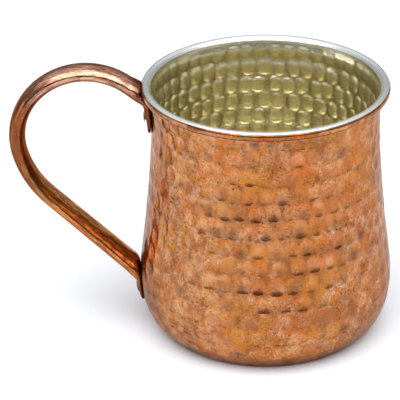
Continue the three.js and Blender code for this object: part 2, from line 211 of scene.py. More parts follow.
# The flare leans out until a straight stretch runs smoothly on into the bead
BEAD = np.array((LIP_RADIUS - BEAD_RADIUS, HEIGHT - BEAD_RADIUS))
FLARE = np.array((NECK_RADIUS + FLARE_RADIUS, NECK_HEIGHT))
FLARE_TO_BEAD = BEAD - FLARE
RADIUS_DROP = FLARE_RADIUS + WALL_THICKNESS - BEAD_RADIUS
FLARE_LEAN = (
    math.atan2(FLARE_TO_BEAD[1], -FLARE_TO_BEAD[0])
    - math.acos(RADIUS_DROP / math.hypot(*FLARE_TO_BEAD))
)
STRAIGHT_RUN = math.sqrt(FLARE_TO_BEAD @ FLARE_TO_BEAD - RADIUS_DROP ** 2)
LEAN_WAY = np.array((math.sin(FLARE_LEAN), math.cos(FLARE_LEAN)))
FLARE_END = FLARE + FLARE_RADIUS * np.array((-math.cos(FLARE_LEAN), math.sin(FLARE_LEAN)))

CURVE_SHARES = np.linspace(0, 1, LINE_STEPS)
FLARE_TURNS = np.linspace(0, FLARE_LEAN, FLARE_STEPS)
WALL_LINE = np.vstack([
    bezier(
        (BASE_RADIUS, 0),
        (BASE_RADIUS + HEEL_RUN * math.cos(HEEL_SLOPE), HEEL_RUN * math.sin(HEEL_SLOPE)),
        (BELLY_RADIUS, BELLY_HEIGHT - BELLY_RUN_BELOW),
        (BELLY_RADIUS, BELLY_HEIGHT),
        CURVE_SHARES,
    )[:-1],
    bezier(
        (BELLY_RADIUS, BELLY_HEIGHT),
        (BELLY_RADIUS, BELLY_HEIGHT + BELLY_RUN_ABOVE),
        (NECK_RADIUS, NECK_HEIGHT - NECK_RUN),
        (NECK_RADIUS, NECK_HEIGHT),
        CURVE_SHARES,
    )[:-1],
    FLARE + FLARE_RADIUS * np.stack([-np.cos(FLARE_TURNS), np.sin(FLARE_TURNS)], axis=-1)[:-1],
    FLARE_END + LEAN_WAY * STRAIGHT_RUN * np.linspace(0, 1, STRAIGHT_STEPS)[:, None],
])
WALL_WAYS = np.concatenate([
    [0],
    np.cumsum(np.hypot(*np.diff(WALL_LINE, axis=0).T)),
])
WALL_LENGTH = WALL_WAYS[-1]
WALL_TANGENTS = np.gradient(WALL_LINE, WALL_WAYS, axis=0)
WALL_TANGENTS /= np.linalg.norm(WALL_TANGENTS, axis=1)[:, None]


def along_wall(values, way):
    """What a pair of values along the wall's line is at a way up it."""
    return np.stack([np.interp(way, WALL_WAYS, values[:, part]) for part in (0, 1)], axis=-1)


def wall_point(way, depth):
    """A point (radius, height) at a way up along the wall's outside, this deep in from it."""
    tangent = along_wall(WALL_TANGENTS, way)
    inwards = np.stack([-tangent[..., 1], tangent[..., 0]], axis=-1)
    return along_wall(WALL_LINE, way) + inwards * np.asarray(depth)[..., None]


def way_at_height(level):
    """The way up along the wall's outside at which it reaches this height."""
    return float(np.interp(level, WALL_LINE[:, 1], WALL_WAYS))


def bead_points(radius, start, end, steps):
    """Points round the bead's centre between two turns, both ends included."""
    turns = np.linspace(start, end, steps + 1)[:, None]
    return BEAD + radius * np.hstack([np.cos(turns), np.sin(turns)])


# Where the wall's outside runs into the bead, as a way up the wall and a turn of the bead
TO_FLARE_END = FLARE_END - BEAD
ALONG_LEAN = float(TO_FLARE_END @ LEAN_WAY)
CREVICE_RUN = -ALONG_LEAN - math.sqrt(
    ALONG_LEAN ** 2 - TO_FLARE_END @ TO_FLARE_END + BEAD_RADIUS ** 2
)
CREVICE_WAY = WALL_LENGTH - STRAIGHT_RUN + CREVICE_RUN
CREVICE = wall_point(CREVICE_WAY, 0.0) - BEAD
CREVICE_TURN = math.atan2(CREVICE[1], CREVICE[0])
INWARD_TURN = math.pi - FLARE_LEAN


# Hammer marks: one set of blows gives the dishes outside and the bumps inside

blows = random.Random(BLOW_SEED)
ROW_COUNT = round((WALL_LENGTH - PLAIN_HEEL) / MARK_PITCH_UP)
ROW_PITCH = (WALL_LENGTH - PLAIN_HEEL) / ROW_COUNT


def strike_row(row):
    """One row of blows round the wall, each with its own place, size, depth and tone."""
    way = PLAIN_HEEL + (row + 0.5) * ROW_PITCH + blows.uniform(-ROW_WAVER, ROW_WAVER)
    radius, level = wall_point(way, 0.0)
    count = round(MARKS_AT_BASE + (MARKS_AT_LIP - MARKS_AT_BASE) * level / HEIGHT)
    count += blows.choice(COUNT_STEPS)

    def spread(low, high):
        """A value for each blow of the row."""
        return np.array([blows.uniform(low, high) for _ in range(count)])

    return {
        "way": way,
        "count": count,
        "pitch": 2 * math.pi * radius / count,
        "phase": blows.uniform(0, 1),
        "sideways": spread(-MARK_SHIFT_ACROSS, MARK_SHIFT_ACROSS),
        "up": spread(-MARK_SHIFT_UP, MARK_SHIFT_UP),
        "wide": spread(*MARK_WIDTHS),
        "tall": spread(*MARK_HEIGHTS),
        "deep": LEAST_DEPTH + DEPTH_RANGE * spread(0, 1) ** DEPTH_POWER,
        "tone": LEAST_DARK_BLOTCH + DARK_BLOTCH_RANGE * spread(0, 1) ** DARK_BLOTCH_POWER,
        # How light or dark the blow's mark is painted: painted light and shade in place of facets
        # that each reflect the room differently.
        "shade": spread(0, 1),
    }


BLOWS = [strike_row(row) for row in range(ROW_COUNT)]


def out_from_middle(share_across, share_up, roundness):
    """0 in a mark's middle, 1 on its edge; the corners are squarer the higher the power."""
    total = np.abs(share_across) ** roundness + np.abs(share_up) ** roundness
    return total ** (1 / roundness)


def dished(share_across, share_up):
    """A hammer's dish: round at its corners, steep at its edge, gently domed in the middle."""
    reach = out_from_middle(share_across, share_up, DISH_ROUNDNESS)
    rise = 1 - np.clip((reach - DISH_FLAT) / (1 - DISH_FLAT), 0, 1) ** 2
    return rise * (1 - DISH_DOME * (share_across ** 2 + share_up ** 2) / 2)


def bumped(share_across, share_up):
    """The round bump that the same blow leaves on the other side."""
    reach = out_from_middle(share_across, share_up, BUMP_ROUNDNESS)
    return np.clip(1 - reach ** BUMP_STEEPNESS, 0, 1)


# What the marks leave at each point, all 0 to 1: how far it is pressed in, a dark blotch low in it
# that is partly tarnishing and partly painted dark reflection, how near the row's lower border is
# for painted shade along it, and how light or dark its blow is painted in place of each facet's own
# reflection
MARK_LAYERS = ("press", "tarnish_and_dark_reflection", "seam_shade", "shade")


def relief(ways, turns, shape, widening=1.0, unevenness=1.0):
    """The layers of all marks. Where two marks meet, the deeper one wins, which leaves ridges."""
    layers = np.zeros((len(MARK_LAYERS), len(ways), len(turns)))
    for row in BLOWS:
        # No mark reaches as far as a whole pitch up or down from its row
        near = np.abs(ways - row["way"]) < ROW_PITCH
        if not near.any():
            continue
        place = turns / (2 * math.pi) * row["count"] - row["phase"]
        for offset in (-1, 0, 1):
            mark = np.floor(place).astype(int) + offset
            index = mark % row["count"]
            half_width = widening * row["pitch"] / 2 * row["wide"][index] + MARK_OVERLAP
            half_height = (ROW_PITCH / 2 * row["tall"][index] + MARK_OVERLAP)[None, :]
            across = (place - mark - 0.5 - row["sideways"][index]) * row["pitch"]
            upwards = ways[near][:, None] - row["way"] - row["up"][index][None, :]
            share_across = (across / half_width)[None, :]
            share_up = upwards / half_height
            press = shape(share_across, share_up) * row["deep"][index][None, :] ** unevenness
            # A dark blotch low in the mark: partly tarnishing, partly painted dark reflection of
            # the room.
            stain = row["tone"][index][None, :] * np.exp(
                -((share_across / DARK_BLOTCH_WIDTH) ** 2) - ((share_up + DARK_BLOTCH_DROP) / DARK_BLOTCH_HEIGHT) ** 2
            )
            # Painted shade along the mark's lower border, where the rows meet.
            border = smooth_step(BORDER_START, BORDER_FULL, -share_up)
            shade = row["shade"][index][None, :]
            wins = press > layers[0][near]
            for layer, value in zip(layers, (press, stain, border, shade)):
                layer[near] = np.where(wins, value, layer[near])
    return layers


def dressed_flat(ways, turns, margin):
    """1 on the open wall, 0 where the handle's flat ends and the rivets lie on it."""
    points = wall_point(ways, 0.0)
    sideways = np.abs(np.angle(np.exp(1j * (turns - math.pi))))[None, :] * points[:, :1]
    level = points[:, 1:]
    side = TAB_WIDTH / 2 - margin
    top = UPPER_TAB_TIP - FLAT_ROOM + margin
    bottom = LOWER_TAB_TOP + FLAT_ROOM - margin
    beside = smooth_step(side, side + FLAT_FADE, sideways)
    below_upper = 1 - smooth_step(top - FLAT_FADE, top, level)
    above_lower = smooth_step(bottom, bottom + FLAT_FADE, level)
    return np.maximum(beside, np.minimum(below_upper, above_lower))


# Meshes

def mesh_piece(name, points, faces, material, node, values=()):
    """A piece from points in millimetres, in the place of a solid of the frame."""
    mesh = bpy.data.meshes.new(name)
    mesh.from_pydata((np.asarray(points) * MM).tolist(), [], faces)
    for label, data in values:
        attribute = mesh.attributes.new(label, "FLOAT", "POINT")
        attribute.data.foreach_set("value", np.asarray(data, np.float32))
    mesh.shade_smooth()
    mesh.materials.append(material)
    piece = bpy.data.objects.new(name, mesh)
    bpy.context.scene.collection.objects.link(piece)
    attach(piece, "root")
    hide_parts(node)
    return piece


def ring_faces(rings, sides):
    """Faces between rings of points that lie one after the other."""
    faces = []
    for ring in range(rings - 1):
        low = ring * sides
        high = low + sides
        for side in range(sides):
            after = (side + 1) % sides
            faces.append((low + side, low + after, high + after, high + side))
    return faces


def pole_faces(rings, sides):
    """Faces from the first and the last ring to two poles that follow the rings' points."""
    first_pole = rings * sides
    last_ring = first_pole - sides
    faces = []
    for side in range(sides):
        after = (side + 1) % sides
        faces.append((first_pole, after, side))
        faces.append((first_pole + 1, last_ring + side, last_ring + after))
    return faces


def revolve(rings, layers):
    """Rings of (radius, height), one row of points each, closed by a pole at both ends."""
    radius = rings[..., 0]
    height = rings[..., 1]
    points = np.stack([radius * np.cos(TURNS), radius * np.sin(TURNS), height], axis=-1)
    poles = [[0, 0, rings[0, 0, 1]], [0, 0, rings[-1, 0, 1]]]
    faces = ring_faces(len(rings), COLUMNS) + pole_faces(len(rings), COLUMNS)
    values = [
        (name, np.append(layer.ravel(), [0, 0]))
        for name, layer in zip(MARK_LAYERS, layers)
    ]
    return np.vstack([points.reshape(-1, 3), poles]), faces, values


def plain_rings(points):
    """The same point all the way round, for each of these (radius, height)."""
    return np.repeat(np.asarray(points, float)[:, None, :], COLUMNS, axis=1)


def hammered_rings(ways, depths):
    """Points all the way round at these ways up the wall, each this deep in from its outside."""
    return wall_point(np.repeat(ways[:, None], COLUMNS, axis=1), depths)


TURNS = 2 * math.pi * np.arange(COLUMNS) / COLUMNS
OUTER_PLACES = np.linspace(0, CREVICE_WAY, WALL_STATIONS)
INNER_PLACES = np.linspace(0, WALL_LENGTH, WALL_STATIONS)


def meeting_points(depth, edge_turn):
    """The smooth face between copper and lining, from the lining's edge to the floor."""
    ways = np.linspace(WALL_LENGTH, 0, HIDDEN_STATIONS)[1:-1]
    radius = BEAD_RADIUS - WALL_THICKNESS + depth
    return [
        *bead_points(radius, edge_turn, INWARD_TURN, BEAD_STATIONS // 2),
        *wall_point(ways, depth),
        (BASE_RADIUS - depth * math.tan(HEEL_SLOPE / 2), depth),
    ]


def stacked(parts):
    """Rings of several stretches in one, and their marks, plain where a stretch has none."""
    rings = np.concatenate([part[0] for part in parts])
    layers = np.zeros((len(MARK_LAYERS), *rings.shape[:2]))
    start = 0
    for stretch, *marks in parts:
        end = start + len(stretch)
        if marks:
            layers[:, start:end] = marks[0]
        start = end
    return rings, layers


def flat_disc(radius, level):
    """Rings of a flat disc inside its outer edge."""
    return [(radius * share, level) for share in FLAT_RINGS]


def copper_wall(material):
    """The copper sheet: dished outside, smooth where the lining lies in it."""
    layers = relief(OUTER_PLACES, TURNS, dished)
    press = layers[0]
    press *= dressed_flat(OUTER_PLACES, TURNS, 0.0)
    press *= smooth_step(0, EDGE_FADE, CREVICE_WAY - OUTER_PLACES)[:, None]
    outside = hammered_rings(OUTER_PLACES, press * DISH_DEPTH)
    edge_turn = LINING_REACH - SKIN_GAP / BEAD_RADIUS
    roll = bead_points(BEAD_RADIUS, CREVICE_TURN, edge_turn, BEAD_STATIONS)[1:]
    parts = [
        (plain_rings(flat_disc(BASE_RADIUS, 0)),),
        (outside, layers),
        (plain_rings(roll),),
        (plain_rings(meeting_points(COPPER_THICKNESS, edge_turn)),),
    ]
    points, faces, values = revolve(*stacked(parts))
    return mesh_piece("copper_wall", points, faces, material, "body", values)


def nickel_lining(material):
    """The lining: bumps inside, wrapped over the bead."""
    layers = relief(INNER_PLACES, TURNS, bumped, BUMP_WIDENING, BUMP_UNEVENNESS)
    press = layers[0]
    press *= dressed_flat(INNER_PLACES, TURNS, FLAT_MARGIN_INSIDE)
    from_lip = WALL_LENGTH - INNER_PLACES
    press *= smooth_step(LIP_CONE_RUN, LIP_CONE_RUN + TOP_FADE, from_lip)[:, None]
    top_row_start = WALL_LENGTH - TOP_ROW_START * ROW_PITCH
    top_row_full = WALL_LENGTH - TOP_ROW_FULL * ROW_PITCH
    topmost = smooth_step(top_row_start, top_row_full, INNER_PLACES)
    press *= (1 - (1 - TOP_BUMP_SHARE) * topmost)[:, None]
    inside = hammered_rings(INNER_PLACES, WALL_THICKNESS + press * BUMP_HEIGHT)
    floor_radius = BASE_RADIUS - WALL_THICKNESS * math.tan(HEEL_SLOPE / 2)
    cone_turn = math.pi - LIP_CONE_LEAN
    roll = bead_points(BEAD_RADIUS, cone_turn, LINING_REACH, BEAD_STATIONS)
    cone_way = np.array((math.sin(LIP_CONE_LEAN), math.cos(LIP_CONE_LEAN)))
    cone = [roll[0] - cone_way * LIP_CONE_RUN * share for share in CONE_RINGS]
    parts = [
        (plain_rings(flat_disc(floor_radius, WALL_THICKNESS)),),
        (inside, layers),
        (plain_rings([*cone, *roll]),),
        (plain_rings(meeting_points(COPPER_THICKNESS + SKIN_GAP, LINING_REACH)),),
    ]
    points, faces, values = revolve(*stacked(parts))
    faces = [face[::-1] for face in faces]
    return mesh_piece("nickel_lining", points, faces, material, "lining", values)


# Handle: a loft through cross-sections, each with its two sides in the handle's plane

def section(finger_side, back_side, width, square, wrap):
    """One cross-section: oval where square is 2, squarer above, round the wall where wrap is 1."""
    return {
        "finger": np.array(finger_side, float),
        "back": np.array(back_side, float),
        "width": width,
        "square": square,
        "wrap": wrap,
    }


def tab_gap(share, root_gap):
    """How far the solids' flat end stands off the wall, at a share of the way to its root."""
    return TAB_TIP_GAP + (root_gap - TAB_TIP_GAP) * share


def tab_sections(tip_level, root_level, root_gap):
    """Sections along a flat end, from its rounded tip to its root, thickened down to the wall."""
    tip = way_at_height(tip_level)
    root = way_at_height(root_level)
    sections = []
    for step in range(TAB_STEPS + 1):
        share = (step / TAB_STEPS) ** TAB_CROWDING
        way = tip + (root - tip) * share
        from_tip = min(1, (abs(way - tip) + TAB_TIP_START) / (TAB_WIDTH / 2))
        width = TAB_WIDTH * math.sqrt(1 - (1 - from_tip) ** 2)
        sections.append(section(
            wall_point(way, -TAB_REST_GAP),
            wall_point(way, -tab_gap(share, root_gap) - TAB_THICKNESS),
            width,
            FLAT_POWER,
            1,
        ))
    return sections


def flipped(sections):
    """The same sections with the finger side and the back side changed over."""
    return [
        section(cut["back"], cut["finger"], cut["width"], cut["square"], cut["wrap"])
        for cut in sections
    ]


def arc(centre, radius, start, end, count):
    """Points and directions along an arc, clockwise, so start is the larger angle."""
    places = []
    for step in range(count + 1):
        angle = start + (end - start) * step / count
        point = np.array(centre) + radius * np.array((math.cos(angle), math.sin(angle)))
        places.append((point, np.array((math.sin(angle), -math.cos(angle)))))
    return places


def tube_sections(places, from_width, to_width):
    """Oval sections across the tube at these points and directions."""
    sections = []
    for step, (point, direction) in enumerate(places):
        share = step / (len(places) - 1)
        to_fingers = np.array((direction[1], -direction[0])) * TUBE_THICKNESS / 2
        width = from_width + (to_width - from_width) * share
        sections.append(section(point + to_fingers, point - to_fingers, width, OVAL_POWER, 0))
    return sections


def bend_sections(start, end, finger_line, back_line):
    """Sections between two others along two side lines, while the flat metal swells."""
    sections = []
    for step in range(1, BEND_STEPS):
        share = step / BEND_STEPS
        eased = smooth_step(0, 1, share)
        sections.append(section(
            finger_line[step],
            back_line[step],
            start["width"] + (end["width"] - start["width"]) * eased,
            start["square"] + (end["square"] - start["square"]) * share,
            start["wrap"] + (end["wrap"] - start["wrap"]) * share,
        ))
    return sections


def eased_line(start, start_way, start_run, end, end_way, end_run):
    """A curve that leaves one point and reaches another along given directions."""
    return bezier(
        start,
        start + np.array(start_way) * start_run,
        end - np.array(end_way) * end_run,
        end,
        np.linspace(0, 1, BEND_STEPS + 1),
    )


def through_points(points):
    """A smooth line through points, spaced evenly by their order."""
    points = np.array(points, float)
    padded = np.vstack([points[:1], points, points[-1:]])
    line = []
    for place in np.linspace(0, len(points) - 1, BEND_STEPS + 1):
        step = min(int(place), len(points) - 2)
        share = place - step
        before, here, after, beyond = padded[step:step + 4]
        start_way = (after - before) / 2
        end_way = (beyond - here) / 2
        line.append(
            (2 * share ** 3 - 3 * share ** 2 + 1) * here
            + (share ** 3 - 2 * share ** 2 + share) * start_way
            + (3 * share ** 2 - 2 * share ** 3) * after
            + (share ** 3 - share ** 2) * end_way
        )
    return np.array(line)


def tube_path():
    """Points and directions down the tube's middle: over the loop, the sweep and the run."""
    loop_centre = np.array((LOOP_REACH, LOOP_HEIGHT))
    inset = np.array((math.cos(SWEEP_START), math.sin(SWEEP_START)))
    sweep_centre = loop_centre + inset * (LOOP_RADIUS - SWEEP_RADIUS)
    loop = arc(loop_centre, LOOP_RADIUS, LOOP_START, SWEEP_START, LOOP_STEPS)
    sweep = arc(sweep_centre, SWEEP_RADIUS, SWEEP_START, RUN_SLOPE, SWEEP_STEPS)
    run_way = np.array((math.sin(RUN_SLOPE), -math.cos(RUN_SLOPE)))
    run = [
        (sweep[-1][0] + run_way * RUN_LENGTH * step / RUN_STEPS, run_way)
        for step in range(RUN_STEPS + 1)
    ]
    return loop, sweep, run


def handle_sections():
    """All sections from the upper tip over the loop and down the run to the lower tip."""
    loop, sweep, run = tube_path()
    run_way = run[-1][1]
    sweep_width = (TUBE_WIDTH + RUN_WIDTH) / 2
    upper_tab = flipped(tab_sections(UPPER_TAB_TIP, UPPER_TAB_TOP, UPPER_ROOT_GAP))
    lower_tab = tab_sections(LOWER_TAB_TIP, LOWER_TAB_TOP, LOWER_ROOT_GAP)[::-1]
    tube = [
        *tube_sections(loop, TUBE_WIDTH, TUBE_WIDTH),
        *tube_sections(sweep, TUBE_WIDTH, sweep_width)[1:],
        *tube_sections(run, sweep_width, RUN_WIDTH)[1:],
    ]
    upper_fingers = eased_line(
        upper_tab[-1]["finger"], (0, 1), UPPER_BEND_RISE,
        tube[0]["finger"], loop[0][1], UPPER_BEND_RUN,
    )
    upper_back = through_points([
        upper_tab[-1]["back"],
        *bead_points(BEAD_RADIUS + BEAD_GAP, UNDER_BEAD, OVER_BEAD, BEAD_STEPS),
        tube[0]["back"],
    ])
    lower_fingers = eased_line(
        tube[-1]["finger"], run_way, LOWER_BEND_RUN,
        lower_tab[0]["finger"], (0, -1), LOWER_BEND_DROP,
    )
    lower_back = eased_line(
        tube[-1]["back"], run_way, LOWER_HEEL_RUN,
        lower_tab[0]["back"], (0, -1), LOWER_HEEL_DROP,
    )
    return [
        *upper_tab,
        *bend_sections(upper_tab[-1], tube[0], upper_fingers, upper_back),
        *tube,
        *bend_sections(tube[-1], lower_tab[0], lower_fingers, lower_back),
        *lower_tab,
    ]


TUBE_TURNS = 2 * math.pi * np.arange(TUBE_SIDES) / TUBE_SIDES


def section_points(cut):
    """A ring of points round one cross-section."""
    power = 2 / cut["square"]
    cosine = np.cos(TUBE_TURNS)
    sine = np.sin(TUBE_TURNS)
    across = cut["width"] / 2 * np.sign(cosine) * np.abs(cosine) ** power
    through = np.sign(sine) * np.abs(sine) ** power
    middle = (cut["finger"] + cut["back"]) / 2
    half = (cut["finger"] - cut["back"]) / 2
    reach = middle[0] + half[0] * through
    sag = cut["wrap"] * (reach - np.sqrt(reach ** 2 - across ** 2))
    return np.stack([sag - reach, across, middle[1] + half[1] * through], axis=-1)


def bent_handle(material):
    """The handle: one tube lofted through its sections and closed at both tips."""
    sections = handle_sections()
    points = np.vstack([section_points(cut) for cut in sections])
    middles = np.array([(cut["finger"] + cut["back"]) / 2 for cut in sections])
    along = np.concatenate([[0], np.cumsum(np.hypot(*np.diff(middles, axis=0).T))])
    turns = np.tile(TUBE_TURNS, len(sections))
    values = [
        ("along", np.repeat(along, TUBE_SIDES)),
        ("across", TUBE_WIDTH / 2 * np.cos(turns)),
        ("through", TUBE_THICKNESS / 2 * np.sin(turns)),
    ]
    last = (len(sections) - 1) * TUBE_SIDES
    faces = [
        *ring_faces(len(sections), TUBE_SIDES),
        tuple(range(TUBE_SIDES))[::-1],
        tuple(range(last, last + TUBE_SIDES)),
    ]
    return mesh_piece("bent_handle", points, faces, material, "handle", values)


# Rivets

def rivet_seat(level, tip_level, root_level, root_gap):
    """Where a rivet's axis leaves the wall, its lean, and what it clamps there."""
    way = way_at_height(level)
    tip = way_at_height(tip_level)
    length = way_at_height(root_level) - tip
    tangent = along_wall(WALL_TANGENTS, way)
    point = wall_point(way, 0.0)
    inwards = np.array((-tangent[1], tangent[0]))
    rims = [
        float(np.dot(wall_point(way + side * INNER_HEAD_RADIUS, WALL_THICKNESS) - point, inwards))
        for side in (-1, 1)
    ]
    round_wall = WALL_THICKNESS + INNER_HEAD_RADIUS ** 2 / (2 * point[0])
    lean_of_tab = (root_gap - TAB_TIP_GAP) / length
    clamped = tab_gap((way - tip) / length, root_gap) + TAB_THICKNESS
    return {
        "point": point,
        "outwards": -inwards,
        "outer": clamped + HEAD_RADIUS * lean_of_tab + SEAT_GAP,
        "inner": -max(round_wall, *rims) - INNER_SEAT_GAP,
    }


def dome(radius, rise):
    """A head's outline as (radius, rise), from its edge almost to its top."""
    angles = [math.pi / 2 * step / DOME_STEPS for step in range(DOME_STEPS)]
    return [(radius * math.cos(angle), rise * math.sin(angle)) for angle in angles]


def rivet(name, seat, material, node):
    """A rivet turned about its axis, from the inner head to the outer dome."""
    inner_head = dome(INNER_HEAD_RADIUS, INNER_HEAD_RISE)[::-1]
    outer_head = dome(HEAD_RADIUS, HEAD_RISE)
    profile = [
        *((radius, seat["inner"] - rise) for radius, rise in inner_head),
        (SHANK_RADIUS, seat["inner"]),
        (SHANK_RADIUS, seat["outer"]),
        *((radius, seat["outer"] + rise) for radius, rise in outer_head),
    ]
    axis = np.array((-seat["outwards"][0], 0, seat["outwards"][1]))
    sideways = np.array((0, 1, 0))
    upwards = np.cross(axis, sideways)
    centre = np.array((-seat["point"][0], 0, seat["point"][1]))
    angles = 2 * math.pi * np.arange(RIVET_SIDES) / RIVET_SIDES
    points = []
    for radius, rise in profile:
        for angle in angles:
            round_axis = sideways * math.cos(angle) + upwards * math.sin(angle)
            points.append(centre + axis * rise + round_axis * radius)
    points.append(centre + axis * (seat["inner"] - INNER_HEAD_RISE))
    points.append(centre + axis * (seat["outer"] + HEAD_RISE))
    faces = ring_faces(len(profile), RIVET_SIDES) + pole_faces(len(profile), RIVET_SIDES)
    return mesh_piece(name, points, faces, material, node)


# Materials

# How ragged a finish's patches are, as the noise's detail and roughness
RAGGED = (6.0, 0.68)
STREAKY = (5.0, 0.7)
RIPPLED = (4.0, 0.5)
SOFT = (3.0, 0.5)
SMOOTH = (2.0, 0.5)


def linear(code):
    """An sRGB hex colour as linear values."""
    values = []
    for shift in (16, 8, 0):
        part = (code >> shift & 255) / 255
        values.append(part / 12.92 if part <= 0.04045 else ((part + 0.055) / 1.055) ** 2.4)
    return (*values, 1.0)


def add(tree, kind, inputs=None, **settings):
    """Adds a node with its settings; an input is a value or the socket that feeds it."""
    made = tree.nodes.new(kind)
    for name, value in settings.items():
        setattr(made, name, value)
    for name, value in (inputs or {}).items():
        socket = made.inputs[name]
        if isinstance(value, bpy.types.NodeSocket):
            tree.links.new(value, socket)
        else:
            socket.default_value = value
    return made


def material_tree(name):
    """An empty material, and the mug's own coordinates in millimetres."""
    material = bpy.data.materials.new(name)
    material.use_nodes = True
    tree = material.node_tree
    tree.nodes.clear()
    place = add(tree, "ShaderNodeTexCoord")
    millimetres = add(
        tree, "ShaderNodeVectorMath",
        {0: place.outputs["Object"], 1: (1 / MM, 1 / MM, 1 / MM)},
        operation="MULTIPLY",
    )
    return material, tree, millimetres.outputs["Vector"]


def finished(material, tree, colour, roughness, metallic=1.0, normal=None, edge_colour=None):
    """Closes a material with its shader."""
    inputs = {"Base Color": colour, "Roughness": roughness, "Metallic": metallic}
    if normal:
        inputs["Normal"] = normal
    if edge_colour:
        inputs["Specular Tint"] = linear(edge_colour)
    shader = add(tree, "ShaderNodeBsdfPrincipled", inputs)
    add(tree, "ShaderNodeOutputMaterial", {"Surface": shader.outputs["BSDF"]})
    return material


def mask(tree, kind, inputs, output, start, full, **settings):
    """Adds a node and turns what it gives to 0 at start and 1 at full, smooth in between."""
    source = add(tree, kind, inputs, **settings)
    return add(
        tree, "ShaderNodeMapRange",
        {"Value": source.outputs[output], "From Min": start, "From Max": full},
        interpolation_type="SMOOTHSTEP",
    ).outputs["Result"]


def blotches(place, size, seed, grade):
    """What makes a noise's blotches about this many millimetres across."""
    detail, roughness = grade
    return {"Vector": place, "W": seed, "Scale": 1 / size, "Detail": detail, "Roughness": roughness}


def patches(tree, place, size, seed, start, full, grade=RAGGED):
    """A mask of patches about this many millimetres across, more of them the lower start is."""
    inputs = blotches(place, size, seed, grade)
    return mask(tree, "ShaderNodeTexNoise", inputs, "Fac", start, full, noise_dimensions="4D")


def by_layer(tree, name, start, full):
    """A mask that rises with a value which the mesh carries at its points."""
    return mask(tree, "ShaderNodeAttribute", {}, "Fac", start, full, attribute_name=name)


def by_place(tree, place, axis, start, full):
    """A mask that rises from one place to another along an axis."""
    return mask(tree, "ShaderNodeSeparateXYZ", {0: place}, axis, start, full)


def laid(tree, below, above, *masks, strength=1.0):
    """A hex colour over what is below it, as strong as all masks and the strength multiplied."""
    share = strength
    for part in masks:
        product = add(tree, "ShaderNodeMath", {0: share, 1: part}, operation="MULTIPLY")
        share = product.outputs["Value"]
    return add(
        tree, "ShaderNodeMix",
        {"Factor": share, "A": below, "B": linear(above)},
        data_type="RGBA",
    ).outputs["Result"]


def uneven(tree, place, size, seed, depth, grade):
    """A surface that rises and falls by this many millimetres."""
    height = add(
        tree, "ShaderNodeTexNoise",
        blotches(place, size, seed, grade),
        noise_dimensions="4D",
    )
    return add(
        tree, "ShaderNodeBump",
        {"Height": height.outputs["Fac"], "Distance": depth * MM},
    ).outputs["Normal"]


# Hammered copper

RED_GOLD = 0xBC6932
YELLOW_GOLD = 0xBE7D33
PINK_COPPER = 0xC6865E
MARK_MIDDLE_HIGHLIGHT = 0xDAA684
BROWNED_COPPER = 0x8A5634
DULL_MARK_SHADE = 0x84543A
BORDER_SHADE = 0x744428
RIDGE_HIGHLIGHT = 0xDEB08C
WORN_COPPER_AND_SHEEN = 0xDEB088
GRAIN_BROWN = 0x8C5228
HOLLOW_TARNISH_AND_DARK_REFLECTION = 0x6C4836
SEAM_SHADE = 0x4A2C18
DARK_SPECK = 0x4A2610
COPPER_EDGE = 0xDAD2D0
COPPER_ROUGHNESS = (0.2, 0.255)
LEAST_HOLLOW_BLOTCH = 0.15
MOST_SHEEN_BY_HANDLE = 0.9


def copper_tones(tree, place, pink):
    """The sheet's own clouds of colour, with painted highlights in the middles of some marks,
    painted shade on some whole marks and painted shade along the marks' borders.
    """
    shade = add(tree, "ShaderNodeAttribute", attribute_name="shade").outputs["Fac"]
    yellow = patches(tree, place, size=20.0, seed=1.0, start=0.42, full=0.56)
    pressed_middles = by_layer(tree, "press", start=0.45, full=1.0)
    highlight_patches = patches(tree, place, size=8.0, seed=14.0, start=0.4, full=0.6)
    browned = patches(tree, place, size=12.0, seed=10.0, start=0.5, full=0.64)
    shaded_blow = by_layer(tree, "shade", start=0.45, full=0.05)
    dull = patches(tree, place, size=9.0, seed=15.0, start=0.42, full=0.58)
    border = by_layer(tree, "press", start=0.42, full=0.05)
    border_shade_patches = patches(tree, place, size=4.5, seed=12.0, start=0.42, full=0.58)
    colour = laid(tree, linear(RED_GOLD), YELLOW_GOLD, yellow, strength=0.65)
    colour = laid(tree, colour, PINK_COPPER, pink, strength=0.55)
    # Painted highlight: pale in the pressed middles of marks, stronger on some marks than on
    # others.
    colour = laid(tree, colour, MARK_MIDDLE_HIGHLIGHT, pressed_middles, highlight_patches, shade, strength=0.65)
    colour = laid(tree, colour, BROWNED_COPPER, browned, strength=0.6)
    # Painted shade: some whole marks darker, as facets turned towards darker parts of the room.
    colour = laid(tree, colour, DULL_MARK_SHADE, shaded_blow, dull, strength=0.5)
    # Painted shade along the marks' borders, in patches.
    return laid(tree, colour, BORDER_SHADE, border, border_shade_patches, strength=0.6)


